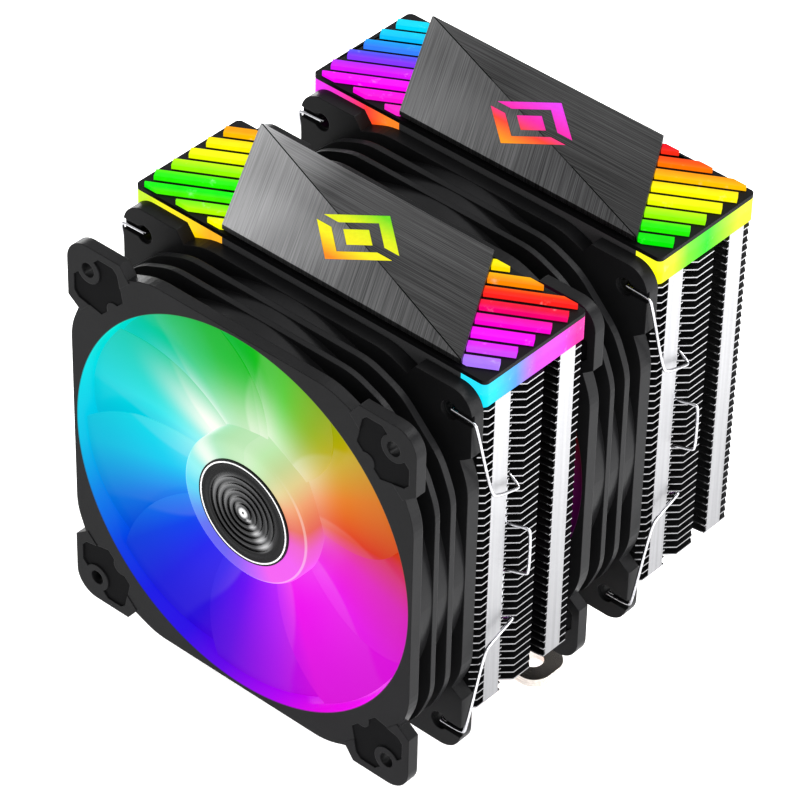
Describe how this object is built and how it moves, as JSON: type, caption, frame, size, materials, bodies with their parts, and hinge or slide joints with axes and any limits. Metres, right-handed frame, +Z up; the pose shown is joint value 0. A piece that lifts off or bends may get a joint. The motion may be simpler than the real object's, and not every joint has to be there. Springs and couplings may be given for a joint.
{
  "type": "processor cooler",
  "caption": "Twin-tower processor cooler with U-shaped heat pipes, black fin stacks, clip-on lit fans, lit top covers and a mounting bar.",
  "frame": {"origin": "centre of the cold plate's contact face, which rests on the processor", "axes": "+Z up, away from the processor; air flows along +Y, in through the front fan; +X to the right when looking along +Y"},
  "size_m": [0.1292, 0.1326, 0.158],
  "materials": {
    "copper_base": "fine-milled bare copper, bright contact face",
    "machined_aluminium": "machined, satin",
    "nickel_pipe": "nickel-plated tube, satin bright",
    "bar_steel": "bright-plated steel",
    "dark_steel": "dark zinc-plated steel",
    "coated_fins": "black coated sheet with bare, bright cut edges and folded tabs",
    "black_plastic": "fine moulded satin",
    "white_board": "white solder mask",
    "lit_diffuser": "milky translucent plastic, lit from inside in a run of colours",
    "brushed_plate": "dark anodised, brushed in two directions across a diagonal",
    "lit_emblem": "milky translucent plastic, lit from below",
    "fan_plastic": "fine moulded satin",
    "rubber_pad": "soft matt rubber",
    "bronze_bush": "sintered bronze",
    "lamination_steel": "stacked laminations",
    "copper_wire": "enamelled copper wire",
    "green_board": "green solder mask",
    "lit_rotor": "milky translucent plastic, lit from the hub in a circle of colours",
    "yoke_steel": "deep-drawn plated steel",
    "ferrite": "bonded ferrite",
    "polished_steel": "ground and polished",
    "hub_black": "black with turned rings",
    "white_trim": "white, smooth",
    "spring_wire": "drawn spring wire, bright"
  },
  "bodies": {
    "cooler": {"cold_plate": "copper_base", "base_block": "machined_aluminium", "heat_pipe_1": "nickel_pipe", "heat_pipe_2": "nickel_pipe", "heat_pipe_3": "nickel_pipe", "heat_pipe_4": "nickel_pipe", "heat_pipe_5": "nickel_pipe", "heat_pipe_6": "nickel_pipe", "mounting_bar": "bar_steel", "mounting_bar_screws": "dark_steel", "front_fin_stack": "coated_fins", "rear_fin_stack": "coated_fins", "front_cover_base": "black_plastic", "front_cover_led_board": "white_board", "front_cover_diffuser": "lit_diffuser", "front_cover_frame": "black_plastic", "front_cover_plate": "brushed_plate", "front_cover_emblem": "lit_emblem", "rear_cover_base": "black_plastic", "rear_cover_led_board": "white_board", "rear_cover_diffuser": "lit_diffuser", "rear_cover_frame": "black_plastic", "rear_cover_plate": "brushed_plate", "rear_cover_emblem": "lit_emblem"},
    "front_fan": {"front_fan_frame": "fan_plastic", "front_fan_pads": "rubber_pad", "front_fan_bearing": "bronze_bush", "front_fan_stator": "lamination_steel", "front_fan_windings": "copper_wire", "front_fan_motor_board": "green_board", "front_fan_led_board": "white_board"},
    "front_rotor": {"front_fan_impeller": "lit_rotor", "front_fan_yoke": "yoke_steel", "front_fan_magnet": "ferrite", "front_fan_shaft": "polished_steel", "front_fan_hub_cap": "hub_black", "front_fan_hub_ring": "white_trim"},
    "middle_fan": {"middle_fan_frame": "fan_plastic", "middle_fan_pads": "rubber_pad", "middle_fan_bearing": "bronze_bush", "middle_fan_stator": "lamination_steel", "middle_fan_windings": "copper_wire", "middle_fan_motor_board": "green_board", "middle_fan_led_board": "white_board"},
    "middle_rotor": {"middle_fan_impeller": "lit_rotor", "middle_fan_yoke": "yoke_steel", "middle_fan_magnet": "ferrite", "middle_fan_shaft": "polished_steel", "middle_fan_hub_cap": "hub_black", "middle_fan_hub_ring": "white_trim"},
    "front_fan_clip_right": {"front_fan_clip_right": "spring_wire"},
    "front_fan_clip_left": {"front_fan_clip_left": "spring_wire"},
    "middle_fan_clip_right": {"middle_fan_clip_right": "spring_wire"},
    "middle_fan_clip_left": {"middle_fan_clip_left": "spring_wire"}
  },
  "joints": [
    {"name": "front_fan_height", "type": "slide", "parent": "cooler", "child": "front_fan", "axis": [0, 0, 1], "range_m": [0, 0.015]},
    {"name": "front_rotor_spin", "type": "hinge", "parent": "front_fan", "child": "front_rotor", "pos_m": [0, -0.0669, 0.0925], "axis": [0, 1, 0], "continuous": true},
    {"name": "front_fan_clip_right_swing", "type": "hinge", "parent": "front_fan", "child": "front_fan_clip_right", "pos_m": [0.0525, -0.05605, 0.0925], "axis": [0, 0, -1], "range_deg": [0, 20]},
    {"name": "front_fan_clip_left_swing", "type": "hinge", "parent": "front_fan", "child": "front_fan_clip_left", "pos_m": [-0.0525, -0.05605, 0.0925], "axis": [0, 0, 1], "range_deg": [0, 20]},
    {"name": "middle_fan_height", "type": "slide", "parent": "cooler", "child": "middle_fan", "axis": [0, 0, 1], "range_m": [0, 0.015]},
    {"name": "middle_rotor_spin", "type": "hinge", "parent": "middle_fan", "child": "middle_rotor", "pos_m": [0, 0.0012, 0.0925], "axis": [0, 1, 0], "continuous": true},
    {"name": "middle_fan_clip_right_swing", "type": "hinge", "parent": "middle_fan", "child": "middle_fan_clip_right", "pos_m": [0.0525, 0.01205, 0.0925], "axis": [0, 0, -1], "range_deg": [0, 20]},
    {"name": "middle_fan_clip_left_swing", "type": "hinge", "parent": "middle_fan", "child": "middle_fan_clip_left", "pos_m": [-0.0525, 0.01205, 0.0925], "axis": [0, 0, 1], "range_deg": [0, 20]}
  ]
}
